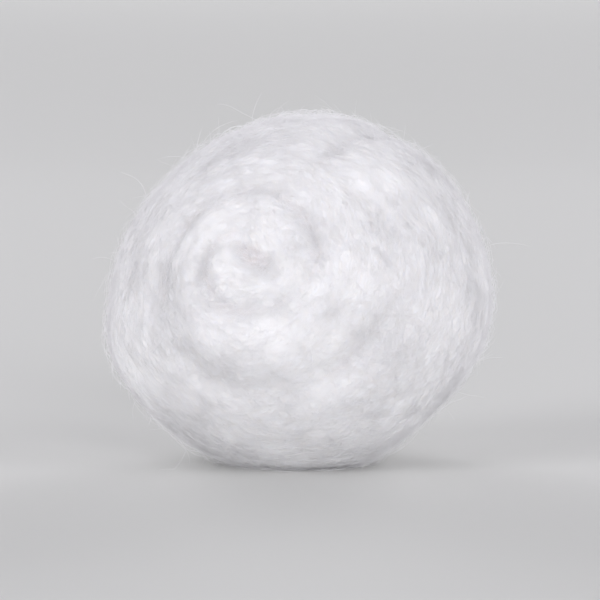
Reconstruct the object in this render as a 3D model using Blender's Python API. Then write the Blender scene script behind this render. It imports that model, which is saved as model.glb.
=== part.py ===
"""A cotton wool ball: a short length of carded web, rolled up and rounded off into a ball.

Metres, +Z up. The ball lies on the side of its roll, on the small flat that its own weight keeps
there, and the origin is under its middle. One end of the roll looks towards -Y, a little to the
left and up, and shows the web's turns around the tuck where the rolling began. The web's free
edge crosses the side of the ball, from the outermost turn at one end to that at the other.

The solid is a sphere whose poles are the two ends of the roll. Each of its points is moved by
the same few rules: the round body, its loose lumps, the flats where it was pressed, the creases
between the web's turns, the tuck at each end, the free edge, and the spot that it lies on.
"""

from dataclasses import dataclass
from math import acos, atan2, cos, exp, floor, hypot, pi, radians, sin, sqrt, tau

import bmesh
import bpy
from mathutils import Matrix, Vector, noise

MM = 0.001

# Overall size, with the height taken from the surface that the ball lies on
BALL_WIDTH = 33.0 * MM
BALL_DEPTH = 31.0 * MM
BALL_HEIGHT = 30.0 * MM

# The spot that it lies on, and how softly that spot rounds off into the ball
REST_WIDTH = 14.5 * MM
REST_ROUNDING = 0.6 * MM

# Which way the near end of the roll looks
ROLL_TURN_LEFT = radians(23)
ROLL_TILT_UP = radians(20)

# The crease between two turns of the web, and the soft shoulders that fall away to it
CREASE_WIDTH = 0.60 * MM
SHOULDER_WIDTH = 1.60 * MM
SHOULDER_SHARE = 0.55

# The lip of the outer turn, which stands up beside the crease and leans over it
LIP_DISTANCE = 1.20 * MM
LIP_WIDTH = 0.90 * MM
LIP_HEIGHT = 0.14 * MM
LIP_OVERHANG = 0.26 * MM

# How a crease comes and goes, in turns of the web: it opens over the first turn, loses part of
# its depth on the way out, and closes just where the free edge begins
OPENING_BEGINS = 0.15
OPENING_ENDS = 0.90
DEPTH_LOST_OUTWARDS = 0.45
CLOSING_BEFORE_EDGE = 0.10
CLOSING_PAST_EDGE = 0.04

# How far a crease strays from its even course, and over what length
STRAY = 0.55 * MM
STRAY_LENGTH = 7.0 * MM

# The shallow hollow that each end of the roll is drawn into
HOLLOW_WIDTH = 5.5 * MM
HOLLOW_DEPTH = 0.7 * MM

# The web's free edge, which runs along the roll: its place around it, its depth, and the length
# over which it grows out of the outermost crease
EDGE_ANGLE = radians(62)
EDGE_DEPTH = 0.60 * MM
EDGE_BLEND = 1.8 * MM

# The soft lobe that stands out beside the near end, low on the left
LOBE_DIRECTION = (-0.90, -0.15, -0.44)
LOBE_HEIGHT = 1.6 * MM
LOBE_SPREAD = radians(24)

# Loose lumps of the wool, and the finer tufts that show at the ends of the roll
LUMP_HEIGHT = 0.34 * MM
LUMP_LENGTH = 8.5 * MM
LUMP_DRAW = Vector((3.1, 7.7, 1.3))
TUFT_HEIGHT = 0.12 * MM
TUFT_LENGTH = 2.9 * MM
TUFT_DRAW = Vector((9.4, 2.6, 5.8))
TUFTS_FULL_WITHIN = 8.5 * MM
TUFTS_NONE_BEYOND = 14.5 * MM

# How softly a pressed flat rounds off into the ball
PRESS_SOFTNESS = 1.8 * MM

# The mesh: sides around the roll, rings from one end to the other, and how far they crowd
# together at the free edge and at the roll's ends
SIDES = 80
RINGS = 72
SIDE_CROWDING = 0.42
RING_CROWDING = 0.52

WOOL_COLOUR = (0.93, 0.925, 0.91, 1.0)
WOOL_ROUGHNESS = 0.95


@dataclass
class RollEnd:
    """One end of the roll: how its turns lie, and the tuck that they go around.

    Angles go around the roll, from its right-hand side upwards as seen from the near end.
    """

    pitch: float  # from one turn of the web to the next
    start: float  # angle at which the innermost turn begins
    turns: int  # whole turns before the web's free edge
    off_centre: float  # share by which the turns lie wider on one side
    off_centre_to: float  # angle of that side
    depth: float  # of the crease between two turns
    tuck_length: float
    tuck_width: float
    tuck_depth: float
    tuck_shift: float  # of the tuck's middle from the roll's axis
    tuck_angle: float
    puckers: int  # small gathers around the tuck
    pucker_depth: float


NEAR_END = RollEnd(
    pitch=4.6 * MM,
    start=radians(270),
    turns=2,
    off_centre=0.26,
    off_centre_to=radians(300),
    depth=1.05 * MM,
    tuck_length=4.6 * MM,
    tuck_width=2.2 * MM,
    tuck_depth=1.5 * MM,
    tuck_shift=1.5 * MM,
    tuck_angle=radians(-30),
    puckers=7,
    pucker_depth=0.12 * MM,
)
FAR_END = RollEnd(
    pitch=5.0 * MM,
    start=radians(205),
    turns=1,
    off_centre=0.18,
    off_centre_to=radians(120),
    depth=0.95 * MM,
    tuck_length=3.4 * MM,
    tuck_width=2.6 * MM,
    tuck_depth=1.4 * MM,
    tuck_shift=1.1 * MM,
    tuck_angle=radians(75),
    puckers=6,
    pucker_depth=0.11 * MM,
)

# Where the ball was pressed in its heap: the direction of each flat, and how deep it goes
PRESSED_FLATS = (
    ((-0.68, -0.05, 0.73), 0.5 * MM),
    ((0.68, 0.00, -0.73), 2.3 * MM),
    ((-0.72, 0.10, -0.68), 0.5 * MM),
    ((0.98, -0.05, 0.18), 0.3 * MM),
    ((0.30, 0.93, 0.20), 0.9 * MM),
    ((-0.66, 0.74, -0.10), 1.1 * MM),
    ((0.50, 0.50, 0.70), 0.5 * MM),
    ((0.25, -0.92, -0.30), 0.4 * MM),
)


def smooth_step(low, high, value):
    """0 below low, 1 above high, and an even S between them."""
    share = min(max((value - low) / (high - low), 0.0), 1.0)
    return share * share * (3 - 2 * share)


def bell(distance, width):
    """1 at no distance, and falling away softly past the width."""
    return exp(-((distance / width) ** 2))


def angle_share(angle, start):
    """The part of a full turn from start round to angle."""
    return ((angle - start) % tau) / tau


def half_sizes():
    """The half sizes of the round body, before its underside is flattened."""
    half_width = BALL_WIDTH / 2
    share = sqrt(1 - (REST_WIDTH / 2 / half_width) ** 2)
    return Vector((half_width, BALL_DEPTH / 2, BALL_HEIGHT / (1 + share)))


def roll_axes():
    """The roll's own axes as columns: to its right, up, and out of its near end."""
    upright = Matrix.Rotation(radians(90), 3, "X")
    tilted = Matrix.Rotation(-ROLL_TILT_UP, 3, "X")
    turned = Matrix.Rotation(-ROLL_TURN_LEFT, 3, "Z")
    return turned @ tilted @ upright


def turn_spread(end, angle):
    """How much wider than the pitch the turns lie on this side of the tuck."""
    return 1 + end.off_centre * cos(angle - end.off_centre_to)


def crowd_to_features(direction):
    """Move a point of the even sphere so that the mesh is finest where the turns and the edge are,
    and its rings lean over to the side where the turns lie wider."""
    polar = acos(min(max(direction.z, -1.0), 1.0))
    polar -= RING_CROWDING * sin(2 * polar) / 2
    around = atan2(direction.y, direction.x)
    around -= SIDE_CROWDING * sin(around - EDGE_ANGLE)
    closeness = cos(polar) ** 2
    if polar < pi / 2:
        polar *= 1 + (turn_spread(NEAR_END, around) - 1) * closeness
    else:
        polar = pi - (pi - polar) * (1 + (turn_spread(FAR_END, around) - 1) * closeness)
    return Vector((sin(polar) * cos(around), sin(polar) * sin(around), cos(polar)))


def stray(point):
    """How far a crease leaves its even course near this point."""
    return STRAY * noise.noise(point / STRAY_LENGTH)


def lumps(point, radius):
    """Height of the loose lumps of the wool at a point this far from the roll's axis."""
    near_an_end = 1 - smooth_step(TUFTS_FULL_WITHIN, TUFTS_NONE_BEYOND, radius)
    low = noise.noise(point / LUMP_LENGTH + LUMP_DRAW)
    fine = noise.noise(point / TUFT_LENGTH + TUFT_DRAW)
    return LUMP_HEIGHT * low + TUFT_HEIGHT * fine * near_an_end


def lobe(outward):
    """Height of the lobe in this direction from the ball's middle."""
    return LOBE_HEIGHT * bell(outward.angle(Vector(LOBE_DIRECTION)), LOBE_SPREAD)


def press_flat(point, half, direction, depth):
    """Push back what stands past a flat, rounding it off into the rest."""
    normal = Vector(direction).normalized()
    reach = hypot(*(half * normal))
    past = point.dot(normal) - (reach - depth + PRESS_SOFTNESS / 2)
    kept = (past - hypot(past, PRESS_SOFTNESS)) / 2
    return point + normal * (kept - past)


def crease_height(distance):
    """Height across a crease of depth 1, this far from its bottom."""
    sharp = (1 - SHOULDER_SHARE) * bell(distance, CREASE_WIDTH)
    return -sharp - SHOULDER_SHARE * bell(distance, SHOULDER_WIDTH)


def turns_to_edge(end):
    """How many turns of the web there are at this end, up to its free edge."""
    return end.turns + angle_share(EDGE_ANGLE, end.start)


def crease_depth(end, travelled):
    """How deep the crease is after so many turns of the web."""
    last = turns_to_edge(end)
    opening = smooth_step(OPENING_BEGINS, OPENING_ENDS, travelled)
    closing = smooth_step(last - CLOSING_BEFORE_EDGE, last + CLOSING_PAST_EDGE, travelled)
    fading = 1 - DEPTH_LOST_OUTWARDS * travelled / last
    return end.depth * opening * (1 - closing) * fading


def turn_relief(end, radius, angle):
    """Height of the web's turns at a point of the roll's end, and how far a lip leans inwards.

    The crease is a spiral. The point lies between its two nearest passes, and each pass is as
    deep as the number of turns that the crease has made by then allows.
    """
    around = angle_share(angle, end.start)
    across = radius / (end.pitch * turn_spread(end, angle)) - around
    inner_pass = floor(across)
    out_from_crease = (across - inner_pass) * end.pitch
    in_from_crease = end.pitch - out_from_crease
    inner_depth = crease_depth(end, inner_pass + around)
    outer_depth = crease_depth(end, inner_pass + 1 + around)
    lip = inner_depth / end.depth * bell(out_from_crease - LIP_DISTANCE, LIP_WIDTH)
    height = inner_depth * crease_height(out_from_crease)
    height += outer_depth * crease_height(in_from_crease)
    return height + lip * LIP_HEIGHT, lip * LIP_OVERHANG


def tuck_relief(end, radius, angle):
    """The slit where the rolling began, the small gathers around it, and their shallow hollow."""
    along = radius * cos(angle - end.tuck_angle) - end.tuck_shift
    across = radius * sin(angle - end.tuck_angle)
    slit = bell(along, end.tuck_length / 2) * bell(across, end.tuck_width / 2)
    ring = bell(radius - end.pitch / 2, end.pitch / 3)
    gathers = (1 - cos(end.puckers * angle)) / 2
    hollow = HOLLOW_DEPTH * bell(radius, HOLLOW_WIDTH)
    return -end.tuck_depth * slit - end.pucker_depth * gathers * ring - hollow


def free_edge_relief(end, radius, angle):
    """The crease and lip where the web's free edge lies on the turn below."""
    past_edge = (angle - EDGE_ANGLE + pi) % tau - pi
    distance = past_edge * radius
    begins = turns_to_edge(end) * end.pitch * turn_spread(end, EDGE_ANGLE)
    shown = smooth_step(begins - EDGE_BLEND, begins + EDGE_BLEND, radius)
    lip = bell(distance + LIP_DISTANCE, LIP_WIDTH)
    return shown * (lip * LIP_HEIGHT + EDGE_DEPTH * crease_height(distance))


def wool_point(direction, half, axes):
    """Where the wool's surface lies in this direction, which is given along the roll's axes."""
    outward = axes @ direction
    round_point = half * outward
    normal = Vector((outward.x / half.x, outward.y / half.y, outward.z / half.z)).normalized()
    along_roll = axes.transposed() @ round_point
    radius = hypot(along_roll.x, along_roll.y)
    angle = atan2(along_roll.y, along_roll.x)
    end = NEAR_END if along_roll.z > 0 else FAR_END

    point = round_point + normal * (lobe(outward) + lumps(round_point, radius))
    for flat_direction, depth in PRESSED_FLATS:
        point = press_flat(point, half, flat_direction, depth)

    crease_radius = radius + stray(round_point) * smooth_step(0, end.pitch, radius)
    height, overhang = turn_relief(end, crease_radius, angle)
    height += tuck_relief(end, radius, angle)
    height += free_edge_relief(end, crease_radius, angle)
    inwards = axes @ Vector((-cos(angle), -sin(angle), 0))
    return point + normal * height + inwards * overhang


def settled_height(height):
    """Height over the surface that the ball lies on, once its own weight has flattened it there."""
    rounded = (height + hypot(height, REST_ROUNDING)) / 2
    return max(rounded - REST_ROUNDING / 4, 0.0)


def shape_wool(ball_mesh):
    """Turn the even sphere into the rolled ball, lying on its flat."""
    half = half_sizes()
    axes = roll_axes()
    rest_level = half.z - BALL_HEIGHT - REST_ROUNDING / 4
    for vertex in ball_mesh.verts:
        vertex.co = wool_point(crowd_to_features(vertex.co.normalized()), half, axes)
        vertex.co.z = settled_height(vertex.co.z - rest_level)


def centre_over_origin(ball_mesh):
    """Put the middle of the ball's width and depth over the origin."""
    for axis in (0, 1):
        places = [vertex.co[axis] for vertex in ball_mesh.verts]
        middle = (min(places) + max(places)) / 2
        for vertex in ball_mesh.verts:
            vertex.co[axis] -= middle


def wool_material():
    """Matt white cotton wool."""
    material = bpy.data.materials.new("cotton")
    material.use_nodes = True
    shader = material.node_tree.nodes["Principled BSDF"]
    shader.inputs["Base Color"].default_value = WOOL_COLOUR
    shader.inputs["Roughness"].default_value = WOOL_ROUGHNESS
    shader.inputs["Metallic"].default_value = 0.0
    return material


def make_cotton_ball(collection):
    """The ball, as one solid."""
    ball_mesh = bmesh.new()
    bmesh.ops.create_uvsphere(ball_mesh, u_segments=SIDES, v_segments=RINGS, radius=1.0)
    shape_wool(ball_mesh)
    centre_over_origin(ball_mesh)
    bmesh.ops.triangulate(ball_mesh, faces=ball_mesh.faces, quad_method="SHORT_EDGE")
    mesh = bpy.data.meshes.new("cotton_ball")
    ball_mesh.to_mesh(mesh)
    ball_mesh.free()
    mesh.shade_smooth()
    mesh.materials.append(wool_material())
    ball = bpy.data.objects.new("cotton_ball", mesh)
    collection.objects.link(ball)


def main():
    for old in list(bpy.data.objects):
        bpy.data.objects.remove(old, do_unlink=True)
    collection = bpy.data.collections.new("Cotton ball")
    bpy.context.scene.collection.children.link(collection)
    make_cotton_ball(collection)


if __name__ == "__main__":
    main()
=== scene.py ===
"""A cotton wool ball with its fibres: a short length of carded web, rolled up into a ball.

The ball is a soft body, combed round its roll, with a coat of loose fibres over it: fibres that lie
matted along the web, short fuzz that stands off it, loose loops, and a few long strays.
Everything is in metres, +Z up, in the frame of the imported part.
"""

from collections import namedtuple
from math import acos, ceil, cos, hypot, pi, radians, sin, sqrt, tau

import bmesh
import bpy
import numpy as np
from bpy.props import FloatProperty, FloatVectorProperty, IntProperty, PointerProperty
from mathutils import Matrix, Quaternion, Vector, noise
from mathutils.bvhtree import BVHTree


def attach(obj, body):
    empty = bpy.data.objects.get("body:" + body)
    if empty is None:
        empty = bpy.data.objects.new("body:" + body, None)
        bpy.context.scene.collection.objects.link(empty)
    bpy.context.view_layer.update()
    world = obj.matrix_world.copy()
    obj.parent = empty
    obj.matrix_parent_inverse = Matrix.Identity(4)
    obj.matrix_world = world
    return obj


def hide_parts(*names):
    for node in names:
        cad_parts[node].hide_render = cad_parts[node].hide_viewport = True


bl_info = {
    "name": "Cotton wool ball",
    "version": (1, 0, 0),
    "blender": (4, 5, 0),
    "location": "View3D > Sidebar > Cotton ball",
    "description": "Makes the combed body and the loose fibres of a rolled cotton wool ball",
    "category": "Object",
}

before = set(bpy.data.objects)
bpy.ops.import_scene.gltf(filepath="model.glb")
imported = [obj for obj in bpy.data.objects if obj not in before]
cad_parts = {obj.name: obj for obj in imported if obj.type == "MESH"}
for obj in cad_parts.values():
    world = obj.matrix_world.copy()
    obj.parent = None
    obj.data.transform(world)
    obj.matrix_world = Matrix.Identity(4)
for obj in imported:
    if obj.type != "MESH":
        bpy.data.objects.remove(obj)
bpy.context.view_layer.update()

MM = 0.001
BALL_NODE = "cotton_ball"
BODY_NAME = "cotton_body"

# The roll inside the ball: its middle, and which way its near end looks
ROLL_MIDDLE = Vector((0.51, -0.05, 14.35)) * MM
ROLL_TURN_LEFT = radians(23)
ROLL_TILT_UP = radians(20)

# Two more ways that the web's fibres were combed, as tilts of the roll's axes
CROSS_TILTS = ((radians(24), "X"), (radians(-19), "Y"))

# A stream of streaks: the way of combing that it follows (0 is the roll's own), how often its streaks
# start again on the way round, how many lie side by side from one end of the roll to the other, how
# far they wander, and where in the noise it is read
Stream = namedtuple("Stream", "way lengthwise across wander place", defaults=((0.0, 0.0, 0.0),))

# The body's relief. The ridges' own heights are shares of the ridge height.
WISPS = Stream(0, 1.6, 20.0, 1.0, (3.0, 0.0, 0.0))
RIDGES = (
    (1.0, Stream(0, 2.6, 48.0, 2.4, (0.0, 5.0, 0.0))),
    (0.7, Stream(1, 2.4, 40.0, 2.0, (7.0, 0.0, 0.0))),
    (0.6, Stream(2, 3.0, 52.0, 2.0, (0.0, 9.0, 0.0))),
)
WANDER_SIZE = 6.0 * MM
WANDER_HEIGHT = 1.6
REST_EDGE = (0.1 * MM, 1.2 * MM)  # Heights where the relief begins and is whole, above the rest flat
FULL_HOLLOW = 0.30 * MM  # A crease this deep has the whole share of the painted crease shade

# The body's finish: its streaks, and the spots to the metre of its clouds and of the streaks' wander
BROAD_STREAKS = Stream(0, 2.2, 22.0, 2.4)
FINE_STREAKS = Stream(0, 3.4, 120.0, 7.0)
CROSS_STREAKS = (Stream(1, 4.2, 150.0, 9.0), Stream(2, 4.8, 170.0, 9.0))
WANDER_SPOTS = 130.0
CLOUD_SPOTS = 260.0

# Where in the streaks the brighter wool begins and how fast it takes over, and how much of the
# painted crease shade (a darker, warmer colour) the deepest creases get
STREAK_FLOOR = 0.38
STREAK_CONTRAST = 3.2
CREASE_SHADE_SHARE = 0.75
HOLLOW = "hollow"

# The fibres' finish: the spots to the metre of their tone, where in it the brighter fibre begins and
# how fast it takes over
FIBRE_FINISH = "loose cotton fibre"
FIBRE_MAP = "OFBake"
TONE_SPOTS = 900.0
TONE_FLOOR = 0.3
TONE_CONTRAST = 2.5

# How fibres lie in their bundles: turns off the way of combing, bends in radians to the metre, and
# lengths as shares of a matted fibre's
BUNDLE_TURN = radians(48)
BUNDLE_BEND = 120.0
BUNDLE_WIDTHS = (0.2 * MM, 0.8 * MM)
BUNDLE_SLIP = 1.3 * MM
FIBRE_TURN = radians(24)
FIBRE_BEND = 90.0
FIBRE_LENGTHS = (0.55, 1.25)

# How the mats rise from the body, how deep the ends of their fibres lie in it, and how these sway
MAT_RISES = (0.0, 0.10 * MM)
MAT_ARCHES = (0.02 * MM, 0.22 * MM)
MAT_TUCK = 0.05 * MM
MAT_SWAY = 0.16 * MM

# The same for the loose loops, whose heights are shares of the highest. Above 1, the power makes
# more of them low.
LOOP_HEIGHTS = (0.1, 1.0)
LOOP_POWER = 1.6
LOOP_TUCK = 0.04 * MM
LOOP_SWAY = 0.18 * MM

# How the short fuzz stands: its turn off the way of combing, how its length varies, its rise, droop
# and curl as shares of that length, and how deep its roots lie
FUZZ_TURN = radians(55)
FUZZ_SPREAD = 0.4
FUZZ_RISES = (0.25, 0.95)
FUZZ_DROOPS = (0.1, 0.5)
FUZZ_CURL = 0.35
FUZZ_ROOT = 0.04 * MM

# How the strays leave the body, how they curl, in radians to the metre, how the axis that they curl
# about turns, and how near they may come to the body
STRAY_LENGTHS = (0.5, 1.4)
STRAY_RISES = (0.15, 0.8)
STRAY_CURL = (330.0, 120.0)
STRAY_TWIST = 0.35
STRAY_ROOM = 0.05 * MM

# How thick fibres are, as shares of a matted fibre's thickness: each other kind, the tips, and the
# thinnest and thickest of all
LOOP_THICKNESS = 0.9
FUZZ_THICKNESS = 0.85
STRAY_THICKNESS = 0.85
TIP_THICKNESS = 0.55
THICKNESS_SPREAD = (0.75, 1.25)

# Where the random draws of each kind of fibre begin
MAT_SEED = 40
FUZZ_SEED = 51
LOOP_SEED = 62
STRAY_SEED = 73

# The stage: the floor is flat this far out, and then turns up in an even sweep
FLOOR_REACH = 1.4
SWEEP_WIDTH = 2.2
SWEEP_HEIGHT = 0.45
SWEEP_STEPS = 24
FLOOR_SIDES = 96
FLOOR_SPOTS = 4.0
FLOOR_SHADE = 0.985
SENSOR_WIDTH = 36.0
LIGHT_TINT = (0.98, 0.968, 1.0)

# Each light: how far it stands round to the right of the camera, how high, and its strength's setting
LIGHTS = (
    ("key light", radians(65), radians(10), "key_strength"),
    ("front light", radians(15), radians(10), "front_strength"),
    ("fill light", radians(-55), radians(10), "fill_strength"),
    ("right back light", radians(152), radians(12), "back_strength"),
    ("left back light", radians(-152), radians(12), "back_strength"),
)


# Shared shapes and numbers


def roll_axes():
    """The roll's own axes as columns: to its right, up, and out of its near end."""
    upright = Matrix.Rotation(radians(90), 3, "X")
    tilted = Matrix.Rotation(-ROLL_TILT_UP, 3, "X")
    turned = Matrix.Rotation(-ROLL_TURN_LEFT, 3, "Z")
    return turned @ tilted @ upright


def combed_axes():
    """The roll's axes, and those of the two ways of combing that cross it."""
    axes = roll_axes()
    crossed = [axes @ Matrix.Rotation(angle, 3, axis) for angle, axis in CROSS_TILTS]
    return [axes, *crossed]


def flow(point, normal):
    """The way the web's fibres run at a point of the ball: round the roll, in the surface."""
    around = roll_axes().col[2].cross(point - ROLL_MIDDLE)
    around -= normal * around.dot(normal)
    return around.normalized()


def smooth_step(low, high, value):
    """0 below low, 1 above high, and an even S between them, for one number or an array."""
    share = np.clip((value - low) / (high - low), 0, 1)
    return share * share * (3 - 2 * share)


def unit(rows):
    """The same vectors, each 1 long. One of no length stays as it is."""
    return rows / (np.linalg.norm(rows, axis=-1, keepdims=True) + 1e-12)


def rows_of(elements, name, width=3):
    """What each of a mesh's elements says under a name, one row for each."""
    rows = np.empty(len(elements) * width, np.float32)
    elements.foreach_get(name, rows)
    return rows.reshape(-1, width).astype(float)


def link(thing):
    """Put an object into the scene."""
    bpy.context.scene.collection.objects.link(thing)
    return thing


def belongs_to_ball(piece, material):
    """Dress a piece, and let it move with the ball."""
    piece.data.materials.clear()
    piece.data.materials.append(material)
    piece.data.shade_smooth()
    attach(piece, "root")


# Materials


class Value:
    """A number that varies over a surface. Arithmetic on it adds Math nodes."""

    def __init__(self, paint, socket):
        self.paint = paint
        self.socket = socket

    def maths(self, operation, *inputs):
        node = self.paint.node("ShaderNodeMath", {"operation": operation}, dict(enumerate(inputs)))
        return Value(self.paint, node.outputs["Value"])

    def __add__(self, other):
        return self.maths("ADD", self, other)

    def __radd__(self, other):
        return self.maths("ADD", other, self)

    def __sub__(self, other):
        return self.maths("SUBTRACT", self, other)

    def __rsub__(self, other):
        return self.maths("SUBTRACT", other, self)

    def __mul__(self, other):
        return self.maths("MULTIPLY", self, other)

    def __rmul__(self, other):
        return self.maths("MULTIPLY", other, self)

    def __truediv__(self, other):
        return self.maths("DIVIDE", self, other)

    def __rtruediv__(self, other):
        return self.maths("DIVIDE", other, self)

    def root(self):
        return self.maths("SQRT", self)

    def arccosine(self):
        return self.maths("ARCCOSINE", self)

    def clamped(self):
        """The same number, held between 0 and 1."""
        node = self.paint.node("ShaderNodeClamp", {}, {"Value": self})
        return Value(self.paint, node.outputs["Result"])


class Paint:
    """One material and the nodes in it."""

    # The Mix node's colour sockets, by number because its other sockets have the same names
    MIX_FIRST, MIX_SECOND, MIX_RESULT = 6, 7, 2

    def __init__(self, name):
        self.material = bpy.data.materials.new(name)
        self.material.use_nodes = True
        self.tree = self.material.node_tree
        self.tree.nodes.clear()

    def node(self, kind, settings, inputs):
        """Add a node: its settings first, then a value or a link for each named socket."""
        node = self.tree.nodes.new(kind)
        for name, setting in settings.items():
            setattr(node, name, setting)
        for name, given in inputs.items():
            if isinstance(given, Value):
                given = given.socket
            if isinstance(given, bpy.types.NodeSocket):
                self.tree.links.new(given, node.inputs[name])
            else:
                node.inputs[name].default_value = given
        return node

    def place(self):
        """The point of the surface, from the roll's middle."""
        coordinates = self.node("ShaderNodeTexCoord", {}, {})
        moved = self.node(
            "ShaderNodeVectorMath",
            {"operation": "SUBTRACT"},
            {0: coordinates.outputs["Object"], 1: ROLL_MIDDLE},
        )
        return moved.outputs["Vector"]

    def along(self, place, direction):
        """How far a place lies along a direction."""
        node = self.node(
            "ShaderNodeVectorMath", {"operation": "DOT_PRODUCT"}, {0: place, 1: direction}
        )
        return Value(self, node.outputs["Value"])

    def distance(self, place):
        """How far a place lies from the roll's middle."""
        node = self.node("ShaderNodeVectorMath", {"operation": "LENGTH"}, {0: place})
        return Value(self, node.outputs["Value"])

    def speckle(self, place, spots, detail):
        """Even noise, about 0.5 on the whole, with so many spots to the metre."""
        node = self.node(
            "ShaderNodeTexNoise",
            {"noise_dimensions": "3D"},
            {"Vector": place, "Scale": spots, "Detail": detail, "Roughness": 0.6},
        )
        return Value(self, node.outputs["Fac"])

    def combed(self, place, stream):
        """Noise that is drawn out into a stream's streaks, round the way it was combed."""
        axes = combed_axes()[stream.way]
        right, up, out = (self.along(place, axes.col[i]) for i in range(3))
        radius = (right * right + up * up).root()
        polar = (out / self.distance(place)).arccosine()
        wander = (self.speckle(place, WANDER_SPOTS, 1.0) - 0.5) * stream.wander
        spread = self.node(
            "ShaderNodeCombineXYZ",
            {},
            {
                "X": right / radius * stream.lengthwise,
                "Y": up / radius * stream.lengthwise,
                "Z": polar * stream.across + wander,
            },
        )
        return self.speckle(spread.outputs["Vector"], 1.0, 2.0)

    def mixed(self, share, first, second):
        """A colour between two, by a number from 0 to 1."""
        node = self.node(
            "ShaderNodeMix",
            {"data_type": "RGBA"},
            {"Factor": share, self.MIX_FIRST: first, self.MIX_SECOND: second},
        )
        return node.outputs[self.MIX_RESULT]

    def finish(self, inputs):
        """Give the material its surface."""
        shader = self.node("ShaderNodeBsdfPrincipled", {}, inputs)
        self.node("ShaderNodeOutputMaterial", {}, {"Surface": shader.outputs["BSDF"]})
        return self.material


def colour(setting):
    """A colour from the panel as a node takes it."""
    return (*setting, 1.0)


def body_material(settings):
    """Combed cotton wool: matt, soft to the light, with painted shade, darker and warmer, in its
    creases, and streaked with fibre, the greyer wool between the fibres partly painted shade.
    """
    paint = Paint("combed cotton wool")
    place = paint.place()
    broad = paint.combed(place, BROAD_STREAKS)
    fine = paint.combed(place, FINE_STREAKS)
    crossing, other_crossing = (paint.combed(place, stream) for stream in CROSS_STREAKS)
    cloud = paint.speckle(place, CLOUD_SPOTS, 2.0)
    # Partly painted shade: the greyer shade colour goes where the streaks are low, and the streaks
    # share the fine and crossing noise with the bump below, so the lower fibres are painted greyer;
    # the rest of the streaks vary in tone at random
    streaks = 0.35 * broad + 0.25 * fine + 0.2 * crossing + 0.2 * cloud
    shown = ((streaks - STREAK_FLOOR) * STREAK_CONTRAST).clamped()
    web = paint.mixed(shown, colour(settings.shade_colour), colour(settings.wool_colour))
    hollow = paint.node("ShaderNodeAttribute", {"attribute_name": HOLLOW}, {})
    depth = Value(paint, hollow.outputs["Fac"])
    # Painted shade: the creases are mixed toward the darker, warmer crease colour by their depth
    base = paint.mixed((CREASE_SHADE_SHARE * depth).clamped(), web, colour(settings.crease_shade_colour))
    lift = 0.35 * fine + 0.3 * crossing + 0.35 * other_crossing
    bump = paint.node(
        "ShaderNodeBump", {}, {"Height": lift, "Strength": 0.5, "Distance": settings.fine_relief}
    )
    return paint.finish(
        {
            "Base Color": base,
            "Roughness": (0.85 + 0.15 * fine).clamped(),
            "Specular IOR Level": 0.15,
            "Subsurface Weight": settings.glow,
            "Subsurface Radius": (1.0, 0.92, 0.82),
            "Subsurface Scale": settings.glow_depth,
            "Sheen Weight": 0.6,
            "Sheen Roughness": 0.6,
            "Normal": bump.outputs["Normal"],
        }
    )


def fibre_material(settings):
    """Single cotton fibres, each a little brighter or greyer along its length.

    The first kind of fibre that asks for it makes it, and the others share it.
    """
    made = bpy.data.materials.get(FIBRE_FINISH)
    if made:
        return made
    paint = Paint(FIBRE_FINISH)
    tone = (paint.speckle(paint.place(), TONE_SPOTS, 1.0) - TONE_FLOOR) * TONE_CONTRAST
    base = paint.mixed(
        tone.clamped(), colour(settings.fibre_shade_colour), colour(settings.fibre_colour)
    )
    return paint.finish(
        {
            "Base Color": base,
            "Roughness": 0.7,
            "Specular IOR Level": 0.2,
            "Sheen Weight": 0.6,
        }
    )


# The combed body


def combed_place(point, axes, lengthwise, across):
    """A point in the space where the fibres' streaks are even noise."""
    local = axes.transposed() @ (point - ROLL_MIDDLE)
    radius = max(hypot(local.x, local.y), 0.05 * MM)
    polar = acos(min(max(local.z / local.length, -1.0), 1.0))
    return Vector(
        (local.x / radius * lengthwise, local.y / radius * lengthwise, polar * across)
    )


def combed_noise(point, stream, ways, wander):
    """Noise from -1 to 1 that is drawn out into a stream's streaks."""
    place = combed_place(point, ways[stream.way], stream.lengthwise, stream.across)
    return noise.noise(place + Vector(stream.place) + Vector((0, 0, stream.wander * wander)))


def combed_relief(point, settings, ways):
    """Height of the combed ridges, the wisps and the tufts at a point of the ball."""
    wander = WANDER_HEIGHT * noise.noise(point / WANDER_SIZE)
    ridges = sum(share * combed_noise(point, stream, ways, wander) for share, stream in RIDGES)
    wisps = combed_noise(point, WISPS, ways, wander)
    tufts = noise.noise(point / settings.tuft_size)
    combed = settings.ridge_height * ridges + settings.wisp_height * wisps
    return combed + settings.tuft_height * tufts


def softened(mesh, places, rounds):
    """The vertices after so many rounds of moving each to the middle of its neighbours."""
    edges = np.empty(len(mesh.edges) * 2, np.int32)
    mesh.edges.foreach_get("vertices", edges)
    first, second = edges.reshape(-1, 2).T
    neighbours = np.bincount(edges, minlength=len(places))[:, None]
    for _ in range(rounds):
        sums = [
            np.bincount(first, places[second, axis], len(places))
            + np.bincount(second, places[first, axis], len(places))
            for axis in range(3)
        ]
        places = np.stack(sums, 1) / neighbours
    return places


def remeshed_ball(settings):
    """The ball's own shape as an even mesh, fine enough for its combed relief."""
    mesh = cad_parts[BALL_NODE].data.copy()
    joined = bmesh.new()
    joined.from_mesh(mesh)
    bmesh.ops.remove_doubles(joined, verts=joined.verts, dist=0.001 * MM)
    joined.to_mesh(mesh)
    joined.free()
    body = link(bpy.data.objects.new(BODY_NAME, mesh))
    remesh = body.modifiers.new("Even mesh", "REMESH")
    remesh.mode = "VOXEL"
    remesh.voxel_size = settings.mesh_size
    finer = body.modifiers.new("Finer mesh", "SUBSURF")
    finer.levels = 1
    finer.render_levels = 1
    depsgraph = bpy.context.evaluated_depsgraph_get()
    fine_mesh = bpy.data.meshes.new_from_object(body.evaluated_get(depsgraph))
    body.modifiers.clear()
    body.data = fine_mesh
    return body


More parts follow.
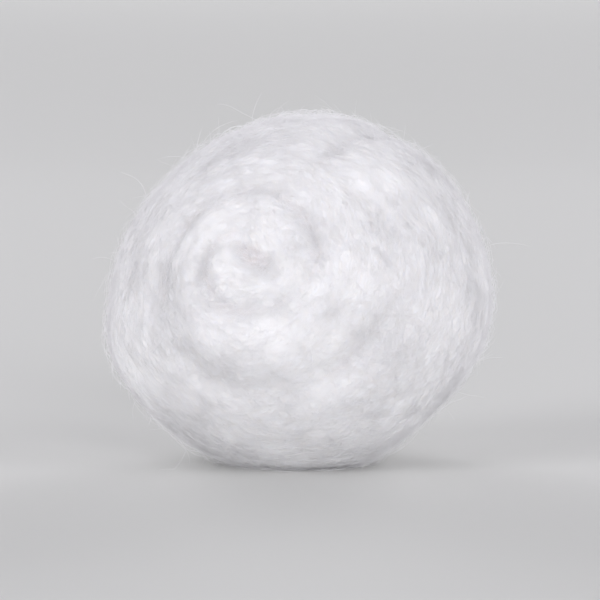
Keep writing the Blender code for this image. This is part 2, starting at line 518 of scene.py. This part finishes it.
def make_body(settings):
    """The soft body of the ball."""
    body = remeshed_ball(settings)
    mesh = body.data
    places = rows_of(mesh.vertices, "co")
    normals = rows_of(mesh.vertex_normals, "vector")
    ways = combed_axes()
    heights = np.array([combed_relief(Vector(place), settings, ways) for place in places])
    above_rest = smooth_step(*REST_EDGE, places[:, 2])
    places += normals * (heights * above_rest)[:, None]
    places[:, 2] = np.maximum(places[:, 2], 0)
    # How deep each vertex lies below its evened-out neighbours, kept for the material's painted
    # crease shade
    round_places = softened(mesh, places, settings.hollow_rounds)
    depth = ((round_places - places) * normals).sum(1) / FULL_HOLLOW
    mesh.vertices.foreach_set("co", places.astype(np.float32).ravel())
    hollow = mesh.attributes.new(HOLLOW, "FLOAT", "POINT")
    hollow.data.foreach_set("value", np.clip(depth * above_rest, 0, 1).astype(np.float32))
    mesh.update()
    belongs_to_ball(body, body_material(settings))
    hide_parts(BALL_NODE)


# The loose fibres


class Surface:
    """The body's surface, to lay fibres on."""

    def __init__(self):
        mesh = bpy.data.objects[BODY_NAME].data
        self.tree = BVHTree.FromPolygons(
            [vertex.co for vertex in mesh.vertices], [face.vertices for face in mesh.polygons]
        )
        self.middles = rows_of(mesh.polygons, "center")
        areas = rows_of(mesh.polygons, "area", 1)[:, 0].astype(np.float32)
        shares = areas / areas.sum()
        # Shared out twice, because a sum of 32-bit numbers is rounded
        self.shares = shares / shares.sum()

    def nearest(self, place):
        """The point of the surface nearest to a place, and its normal."""
        return self.tree.find_nearest(place)[:2]

    def roots(self, draw, count):
        """Random points of the surface, each with its normal and the way it was combed there."""
        for index in draw.choice(len(self.middles), size=count, p=self.shares):
            root, normal = self.nearest(Vector(self.middles[index]))
            yield root, normal, flow(root, normal)

    def walk(self, start, heading, bend, step, steps):
        """Points and normals of a path laid on the surface, which turns evenly as it goes."""
        place, normal = self.nearest(start)
        places, normals = [place], [normal]
        for _ in range(steps):
            heading = heading - normal * heading.dot(normal)
            heading.normalize()
            heading.rotate(Quaternion(normal, bend * step))
            place, normal = self.nearest(place + heading * step)
            places.append(place)
            normals.append(normal)
        return places, normals


def matted_paths(surface, draw, settings, count):
    """Fibres that lie on the web in loose bundles, along the way that it was combed."""
    places, normals = [], []
    steps = settings.mat_steps
    for middle, normal, way in surface.roots(draw, count // settings.bundle + 1):
        way.rotate(Quaternion(normal, draw.normal(0, BUNDLE_TURN)))
        across = normal.cross(way)
        bundle_bend = draw.normal(0, BUNDLE_BEND)
        width = draw.uniform(*BUNDLE_WIDTHS)
        for _ in range(settings.bundle):
            length = draw.uniform(*FIBRE_LENGTHS) * settings.mat_length
            start = middle + across * draw.normal(0, width) + way * draw.normal(0, BUNDLE_SLIP)
            heading = way.copy()
            heading.rotate(Quaternion(normal, draw.normal(0, FIBRE_TURN)))
            start -= heading * length / 2
            bend = bundle_bend + draw.normal(0, FIBRE_BEND)
            path = surface.walk(start, heading, bend, length / steps, steps)
            places.append(path[0])
            normals.append(path[1])
    return np.array(places[:count]), np.array(normals[:count])


def fuzz_paths(surface, draw, settings, count):
    """Short fibres that stand off the ball, each bent over the way the web was combed."""
    steps = settings.fuzz_steps
    paths, normals = [], []
    for root, normal, way in surface.roots(draw, count):
        way.rotate(Quaternion(normal, draw.normal(0, FUZZ_TURN) + pi * draw.integers(0, 2)))
        side = normal.cross(way)
        length = settings.fuzz_length * draw.lognormal(0, FUZZ_SPREAD)
        rise = draw.uniform(*FUZZ_RISES)
        leaning = (way + normal * rise).normalized()
        droop = draw.uniform(*FUZZ_DROOPS) * rise
        curl = draw.normal(0, FUZZ_CURL)
        path = []
        for index in range(steps + 1):
            share = index / steps
            bent = side * (curl * share * share) - normal * (droop * share * share)
            path.append(root - normal * FUZZ_ROOT + (leaning * share + bent) * length)
        paths.append(path)
        normals.append([normal] * (steps + 1))
    return np.array(paths), np.array(normals)


def stray_paths(surface, draw, settings, count):
    """Long single fibres that have worked loose at one end and curl away from the ball."""
    steps = settings.stray_steps
    paths, normals = [], []
    for root, normal, way in surface.roots(draw, count):
        way.rotate(Quaternion(normal, draw.uniform(0, tau)))
        length = settings.stray_length * draw.uniform(*STRAY_LENGTHS)
        step = length / steps
        heading = (way + normal * draw.uniform(*STRAY_RISES)).normalized()
        turn_axis = Vector(draw.normal(0, 1, 3)).normalized()
        place = root - normal * STRAY_ROOM
        path = [place.copy()]
        for _ in range(steps):
            heading.rotate(Quaternion(turn_axis, draw.normal(*STRAY_CURL) * step))
            turn_axis = (turn_axis + Vector(draw.normal(0, STRAY_TWIST, 3))).normalized()
            place = place + heading * step
            nearest, outward = surface.nearest(place)
            if (place - nearest).dot(outward) < STRAY_ROOM:
                place = nearest + outward * STRAY_ROOM
            path.append(place.copy())
        paths.append(path)
        normals.append([normal] * (steps + 1))
    return np.array(paths), np.array(normals)


def lifted(places, normals, heights):
    """Paths raised off the surface by so much at each point."""
    return places + normals * heights[:, :, None]


def sway(draw, places, normals, amount):
    """Move the points of each path a little to its sides."""
    sides = unit(np.cross(normals, np.gradient(places, axis=1)))
    return places + sides * draw.normal(0, amount, places.shape[:2])[:, :, None]


def fibre_pattern(points):
    """The faces of one fibre of three sides, from point to point, and where they lie on its cell.

    The first and last points are its tips, and each point between them has a ring of three.
    """
    rings = points - 2
    last = 1 + 3 * rings
    faces, spots = [], []
    for side in range(3):
        beside = (side + 1) % 3
        low, high = side / 3, (side + 1) / 3
        faces.append((0, 1 + beside, 1 + side))
        spots.append(((0, (low + high) / 2), (1, high), (1, low)))
        for ring in range(rings - 1):
            here, after = 1 + 3 * ring, 4 + 3 * ring
            faces.append((here + side, here + beside, after + beside, after + side))
            spots.append(((ring + 1, low), (ring + 1, high), (ring + 2, high), (ring + 2, low)))
        end = last - 3
        faces.append((end + side, end + beside, last))
        spots.append(((rings, low), (rings, high), (rings + 1, (low + high) / 2)))
    return faces, spots, last + 1


def fibre_corners(paths, normals, thickness, draw):
    """The vertices of each fibre: its first tip, a ring of three round each point, its last tip."""
    count, points = paths.shape[:2]
    along = unit(np.gradient(paths, axis=1))
    sides = unit(np.cross(along, normals))
    ups = np.cross(along, sides)
    taper = TIP_THICKNESS + (1 - TIP_THICKNESS) * np.sin(np.linspace(0, pi, points))
    radii = thickness / 2 * taper[None, :] * draw.uniform(*THICKNESS_SPREAD, (count, 1))
    corners = np.empty((count, 2 + 3 * (points - 2), 3))
    corners[:, 0] = paths[:, 0]
    corners[:, -1] = paths[:, -1]
    for side in range(3):
        turn = tau * side / 3 + pi / 2
        ring = (sides * cos(turn) + ups * sin(turn)) * radii[:, :, None] + paths
        corners[:, 1 + side : -1 : 3] = ring[:, 1:-1]
    return corners


def map_fibres(mesh, spots, count, points):
    """Give each fibre a cell of its own on the fibres' UV map."""
    margin = 0.08
    cells = ceil(sqrt(count))
    spot = np.array([place for face in spots for place in face], float)
    spot[:, 0] /= points - 1
    spot = margin + (1 - 2 * margin) * spot
    fibre = np.arange(count)[:, None]
    cell = np.stack([fibre % cells, fibre // cells], 2)
    layer = mesh.uv_layers.new(name=FIBRE_MAP)
    layer.data.foreach_set("uv", ((cell + spot) / cells).astype(np.float32).ravel())


def make_fibres(name, paths, normals, thickness, draw, material):
    """One piece of many fibres, each a closed thread that thins towards its tips."""
    count, points = paths.shape[:2]
    paths[:, :, 2] = np.maximum(paths[:, :, 2], thickness)
    corners = fibre_corners(paths, normals, thickness, draw)
    faces, spots, size = fibre_pattern(points)
    loops = np.array([corner for face in faces for corner in face])
    starts = np.cumsum([0] + [len(face) for face in faces[:-1]])
    fibre = np.arange(count)[:, None]
    mesh = bpy.data.meshes.new(name)
    mesh.vertices.add(count * size)
    mesh.vertices.foreach_set("co", corners.ravel())
    mesh.loops.add(count * len(loops))
    mesh.loops.foreach_set("vertex_index", (loops + fibre * size).ravel())
    mesh.polygons.add(count * len(faces))
    mesh.polygons.foreach_set("loop_start", (starts + fibre * len(loops)).ravel())
    mesh.update(calc_edges=True)
    map_fibres(mesh, spots, count, points)
    piece = link(bpy.data.objects.new(name, mesh))
    belongs_to_ball(piece, material)


def make_mat(index, surface, settings):
    """One layer of matted fibres. The second rises twice as far as the first."""
    draw = np.random.default_rng(MAT_SEED + index)
    places, normals = matted_paths(surface, draw, settings, settings.mat_count)
    count, points = places.shape[:2]
    share = np.linspace(0, 1, points)[None, :]
    rise = draw.uniform(*MAT_RISES, (count, 1)) * (1 + index) * np.sin(pi * share)
    arch = draw.uniform(*MAT_ARCHES, (count, 1)) * np.sin(pi * share)
    tuck = MAT_TUCK * np.cos(tau * share).clip(0, 1)
    paths = sway(draw, lifted(places, normals, rise + arch - tuck), normals, MAT_SWAY)
    name = f"matted_fibres_{index + 1}"
    make_fibres(name, paths, normals, settings.thickness, draw, fibre_material(settings))


def make_fuzz(settings):
    """Short fibres all over the ball."""
    draw = np.random.default_rng(FUZZ_SEED)
    paths, normals = fuzz_paths(Surface(), draw, settings, settings.fuzz_count)
    thickness = settings.thickness * FUZZ_THICKNESS
    make_fibres("short_fuzz", paths, normals, thickness, draw, fibre_material(settings))


def make_loops(settings):
    """Loose fibres that arch off the ball, most of them low."""
    draw = np.random.default_rng(LOOP_SEED)
    places, normals = matted_paths(Surface(), draw, settings, settings.loop_count)
    count, points = places.shape[:2]
    share = np.linspace(0, 1, points)[None, :]
    top = settings.loop_height * draw.uniform(*LOOP_HEIGHTS, (count, 1)) ** LOOP_POWER
    paths = lifted(places, normals, top * np.sin(pi * share) - LOOP_TUCK)
    paths = sway(draw, paths, normals, LOOP_SWAY)
    thickness = settings.thickness * LOOP_THICKNESS
    make_fibres("loose_loops", paths, normals, thickness, draw, fibre_material(settings))


def make_strays(settings):
    """A few long fibres."""
    draw = np.random.default_rng(STRAY_SEED)
    paths, normals = stray_paths(Surface(), draw, settings, settings.stray_count)
    thickness = settings.thickness * STRAY_THICKNESS
    make_fibres("stray_fibres", paths, normals, thickness, draw, fibre_material(settings))


# The stage


def floor_material(settings):
    """Pale matt paint, a little uneven in tone."""
    paint = Paint("pale floor")
    tone = (0.3 + 0.4 * paint.speckle(paint.place(), FLOOR_SPOTS, 2.0)).clamped()
    darker = colour([FLOOR_SHADE * channel for channel in settings.floor_colour])
    base = paint.mixed(tone, darker, colour(settings.floor_colour))
    return paint.finish({"Base Color": base, "Roughness": 0.9, "Specular IOR Level": 0.1})


def make_floor(settings):
    """A pale floor that turns up far away on every side."""
    profile = [(FLOOR_REACH, 0.0)]
    for index in range(1, SWEEP_STEPS + 1):
        angle = pi / 2 * index / SWEEP_STEPS
        radius = FLOOR_REACH + SWEEP_WIDTH * sin(angle)
        profile.append((radius, SWEEP_HEIGHT - SWEEP_HEIGHT * cos(angle)))
    angles = [tau * side / FLOOR_SIDES for side in range(FLOOR_SIDES)]
    joined = bmesh.new()
    middle = joined.verts.new((0, 0, 0))
    rings = [
        [joined.verts.new((radius * cos(angle), radius * sin(angle), height)) for angle in angles]
        for radius, height in profile
    ]
    for side in range(FLOOR_SIDES):
        beside = (side + 1) % FLOOR_SIDES
        joined.faces.new((middle, rings[0][side], rings[0][beside]))
        for inner, outer in zip(rings, rings[1:]):
            joined.faces.new((inner[side], outer[side], outer[beside], inner[beside]))
    mesh = bpy.data.meshes.new("floor")
    joined.to_mesh(mesh)
    joined.free()
    mesh.shade_smooth()
    mesh.materials.append(floor_material(settings))
    link(bpy.data.objects.new("floor", mesh))


def make_light(name, round_to_right, rise, softness, strength):
    """A soft light, as strong all over the floor as it is at the ball. It stands so far round to
    the right of the camera and so far up."""
    light = bpy.data.lights.new(name, "SUN")
    light.angle = softness
    light.energy = strength
    light.color = LIGHT_TINT
    lamp = link(bpy.data.objects.new(name, light))
    level = cos(rise)
    lamp.location = (sin(round_to_right) * level, -cos(round_to_right) * level, sin(rise))
    lamp.rotation_mode = "QUATERNION"
    lamp.rotation_quaternion = lamp.location.to_track_quat("Z", "Y")


def make_room(settings):
    """The even light that comes from all round."""
    world = bpy.data.worlds.new("studio")
    world.use_nodes = True
    sky = world.node_tree.nodes["Background"]
    sky.inputs["Color"].default_value = colour(settings.room_colour)
    sky.inputs["Strength"].default_value = settings.room_strength
    bpy.context.scene.world = world
    bpy.context.scene.view_settings.view_transform = "Standard"


def make_camera(settings):
    """The camera, at the photograph's height and side."""
    camera = bpy.data.cameras.new("camera")
    camera.lens = settings.lens
    camera.sensor_width = SENSOR_WIDTH
    camera.clip_start = 0.01
    camera.clip_end = 10.0
    viewer = link(bpy.data.objects.new("camera", camera))
    rise = settings.camera_rise
    back = Vector((0, -cos(rise), sin(rise)))
    distance = settings.framed_width * settings.lens / SENSOR_WIDTH
    viewer.location = Vector(settings.framed_point) + back * distance
    viewer.rotation_mode = "QUATERNION"
    viewer.rotation_quaternion = back.to_track_quat("Z", "Y")
    bpy.context.scene.camera = viewer


def make_stage(settings):
    """The floor, the lights and the camera."""
    make_floor(settings)
    for name, round_to_right, rise, strength in LIGHTS:
        make_light(name, round_to_right, rise, settings.light_softness, getattr(settings, strength))
    make_room(settings)
    make_camera(settings)


# The add-on


def length_setting(name, description, default, **limits):
    """A length in the panel, in metres."""
    return FloatProperty(
        name=name,
        description=description,
        default=default,
        subtype="DISTANCE",
        unit="LENGTH",
        **limits,
    )


def colour_setting(name, description, default):
    """A colour in the panel."""
    return FloatVectorProperty(
        name=name, description=description, default=default, min=0.0, max=1.0, subtype="COLOR"
    )


def angle_setting(name, description, default):
    """An angle in the panel."""
    return FloatProperty(
        name=name, description=description, default=default, subtype="ANGLE", unit="ROTATION"
    )


class CottonBodySettings(bpy.types.PropertyGroup):
    """Sizes and colours of the combed body."""

    mesh_size: length_setting(
        "Mesh size", "Width of a face before the mesh is made finer", 0.435 * MM, min=0.2 * MM
    )
    ridge_height: length_setting(
        "Ridge height", "Height of the narrow ridges of combed fibre", 0.042 * MM
    )
    wisp_height: length_setting(
        "Wisp height", "Height of the broad wisps that lie along the web", 0.03 * MM
    )
    tuft_height: length_setting("Tuft height", "Height of the loose tufts", 0.03 * MM)
    tuft_size: length_setting("Tuft size", "Width of the loose tufts", 2.4 * MM)
    fine_relief: length_setting(
        "Fine relief", "Height of the single fibres that show on the body", 0.08 * MM
    )
    hollow_rounds: IntProperty(
        name="Hollow rounds",
        description="How widely the body is evened out to find its creases",
        default=140,
        min=1,
    )
    glow: FloatProperty(
        name="Glow",
        description="Share of the light that passes into the wool",
        default=0.5,
        min=0.0,
        max=1.0,
        subtype="FACTOR",
    )
    glow_depth: length_setting("Glow depth", "How far light goes in the wool", 1.2 * MM)
    wool_colour: colour_setting(
        "Wool colour", "Colour of the wool where it stands out", (0.965, 0.96, 0.975)
    )
    # Partly painted shade between the fibres, partly a random greyer tone in the streaks
    shade_colour: colour_setting(
        "Shade colour", "Colour of the wool between its fibres", (0.925, 0.92, 0.925)
    )
    # Painted crease shade: a darker, warmer colour laid into the creases by their depth
    crease_shade_colour: colour_setting(
        "Crease colour", "Colour of the wool in its creases", (0.85, 0.815, 0.815)
    )


class CottonFibreSettings(bpy.types.PropertyGroup):
    """Numbers, sizes and colours of the loose fibres."""

    thickness: length_setting("Thickness", "Thickness of a fibre at its middle", 0.026 * MM)
    mats: IntProperty(
        name="Mats",
        description="How many layers of matted fibres there are",
        default=2,
        min=1,
        max=2,
    )
    mat_count: IntProperty(
        name="Matted fibres",
        description="How many fibres each mat has",
        default=6300,
        min=1,
        max=6600,
    )
    bundle: IntProperty(
        name="Bundle", description="How many matted fibres lie together", default=5, min=1
    )
    mat_length: length_setting("Mat length", "Length of a matted fibre", 6.0 * MM)
    mat_steps: IntProperty(
        name="Mat steps", description="Straight pieces in a matted fibre", default=6, min=3
    )
    fuzz_count: IntProperty(
        name="Fuzz",
        description="How many short fibres stand off the ball",
        default=10500,
        min=1,
        max=11000,
    )
    fuzz_length: length_setting("Fuzz length", "Length of a short fibre", 1.25 * MM)
    fuzz_steps: IntProperty(
        name="Fuzz steps", description="Straight pieces in a short fibre", default=4, min=3
    )
    loop_count: IntProperty(
        name="Loops",
        description="How many fibres arch off the ball and come back to it",
        default=6000,
        min=1,
        max=6600,
    )
    loop_height: length_setting(
        "Loop height", "How far the highest loops stand off the ball", 0.9 * MM
    )
    stray_count: IntProperty(
        name="Strays", description="How many long fibres have worked loose", default=60, min=1
    )
    stray_length: length_setting("Stray length", "Length of a stray fibre", 5.0 * MM)
    stray_steps: IntProperty(
        name="Stray steps", description="Straight pieces in a stray fibre", default=12, min=3
    )
    fibre_colour: colour_setting(
        "Fibre colour", "Colour of the brighter fibres", (0.985, 0.982, 0.995)
    )
    fibre_shade_colour: colour_setting(
        "Fibre shade colour", "Colour of the duller fibres", (0.94, 0.935, 0.945)
    )


class CottonStageSettings(bpy.types.PropertyGroup):
    """The floor, the lights and the camera."""

    floor_colour: colour_setting("Floor colour", "Colour of the floor", (0.675, 0.679, 0.662))
    room_colour: colour_setting(
        "Room colour", "Colour of the light from all round", (0.955, 0.948, 1.0)
    )
    room_strength: FloatProperty(
        name="Room strength", description="Strength of the light from all round", default=0.44
    )
    key_strength: FloatProperty(
        name="Key strength", description="Strength of the light at the right", default=1.4
    )
    fill_strength: FloatProperty(
        name="Fill strength", description="Strength of the light at the left", default=2.15
    )
    back_strength: FloatProperty(
        name="Back strength", description="Strength of each light behind", default=1.5
    )
    front_strength: FloatProperty(
        name="Front strength", description="Strength of the light at the camera", default=1.6
    )
    light_softness: angle_setting(
        "Light softness", "How wide each light looks from the ball", radians(32)
    )
    lens: FloatProperty(name="Lens", description="Length of the camera's lens", default=150.0)
    framed_width: length_setting(
        "Framed width", "Width that the camera takes in where the ball lies", 52.0 * MM
    )
    framed_point: FloatVectorProperty(
        name="Framed point",
        description="Where the camera looks",
        default=(0.0, 0.0, 14.0 * MM),
        subtype="XYZ",
        unit="LENGTH",
    )
    camera_rise: angle_setting("Camera rise", "Angle of the camera above the level", radians(4))


class COTTON_OT_make_body(bpy.types.Operator):
    """Make the soft body of the ball, with the relief of its combed fibres"""

    bl_idname = "cotton.make_body"
    bl_label = "Combed body"

    def execute(self, context):
        make_body(context.scene.cotton_body)
        return {"FINISHED"}


class COTTON_OT_make_mats(bpy.types.Operator):
    """Lay matted fibres over the body, along the way the web was combed"""

    bl_idname = "cotton.make_mats"
    bl_label = "Matted fibres"

    def execute(self, context):
        settings = context.scene.cotton_fibres
        surface = Surface()
        for index in range(settings.mats):
            make_mat(index, surface, settings)
        return {"FINISHED"}


class COTTON_OT_make_fuzz(bpy.types.Operator):
    """Stand short fibres off the ball"""

    bl_idname = "cotton.make_fuzz"
    bl_label = "Short fuzz"

    def execute(self, context):
        make_fuzz(context.scene.cotton_fibres)
        return {"FINISHED"}


class COTTON_OT_make_loops(bpy.types.Operator):
    """Arch loose fibres over the ball, with both ends in it"""

    bl_idname = "cotton.make_loops"
    bl_label = "Loose loops"

    def execute(self, context):
        make_loops(context.scene.cotton_fibres)
        return {"FINISHED"}


class COTTON_OT_make_strays(bpy.types.Operator):
    """Let a few long fibres curl away from the ball"""

    bl_idname = "cotton.make_strays"
    bl_label = "Stray fibres"

    def execute(self, context):
        make_strays(context.scene.cotton_fibres)
        return {"FINISHED"}


class COTTON_OT_make_stage(bpy.types.Operator):
    """Make the floor, the lights and the camera"""

    bl_idname = "cotton.make_stage"
    bl_label = "Stage"

    def execute(self, context):
        make_stage(context.scene.cotton_stage)
        return {"FINISHED"}


class COTTON_PT_ball(bpy.types.Panel):
    """Everything that makes up the cotton ball"""

    bl_idname = "COTTON_PT_ball"
    bl_label = "Cotton ball"
    bl_space_type = "VIEW_3D"
    bl_region_type = "UI"
    bl_category = "Cotton ball"

    def draw(self, context):
        groups = (
            (context.scene.cotton_body, BODY_OPERATORS),
            (context.scene.cotton_fibres, FIBRE_OPERATORS),
            (context.scene.cotton_stage, STAGE_OPERATORS),
        )
        for settings, operators in groups:
            box = self.layout.box()
            for name in settings.__annotations__:
                box.prop(settings, name)
            for operator in operators:
                box.operator(operator.bl_idname)


BODY_OPERATORS = (COTTON_OT_make_body,)
FIBRE_OPERATORS = (
    COTTON_OT_make_mats,
    COTTON_OT_make_fuzz,
    COTTON_OT_make_loops,
    COTTON_OT_make_strays,
)
STAGE_OPERATORS = (COTTON_OT_make_stage,)
CLASSES = (
    CottonBodySettings,
    CottonFibreSettings,
    CottonStageSettings,
    *BODY_OPERATORS,
    *FIBRE_OPERATORS,
    *STAGE_OPERATORS,
    COTTON_PT_ball,
)


def register():
    for cls in CLASSES:
        bpy.utils.register_class(cls)
    bpy.types.Scene.cotton_body = PointerProperty(type=CottonBodySettings)
    bpy.types.Scene.cotton_fibres = PointerProperty(type=CottonFibreSettings)
    bpy.types.Scene.cotton_stage = PointerProperty(type=CottonStageSettings)


def unregister():
    del bpy.types.Scene.cotton_stage
    del bpy.types.Scene.cotton_fibres
    del bpy.types.Scene.cotton_body
    for cls in reversed(CLASSES):
        bpy.utils.unregister_class(cls)


def main():
    register()
    bpy.ops.cotton.make_body()
    bpy.ops.cotton.make_mats()
    bpy.ops.cotton.make_fuzz()
    bpy.ops.cotton.make_loops()
    bpy.ops.cotton.make_strays()
    bpy.ops.cotton.make_stage()


if __name__ == "__main__":
    main()
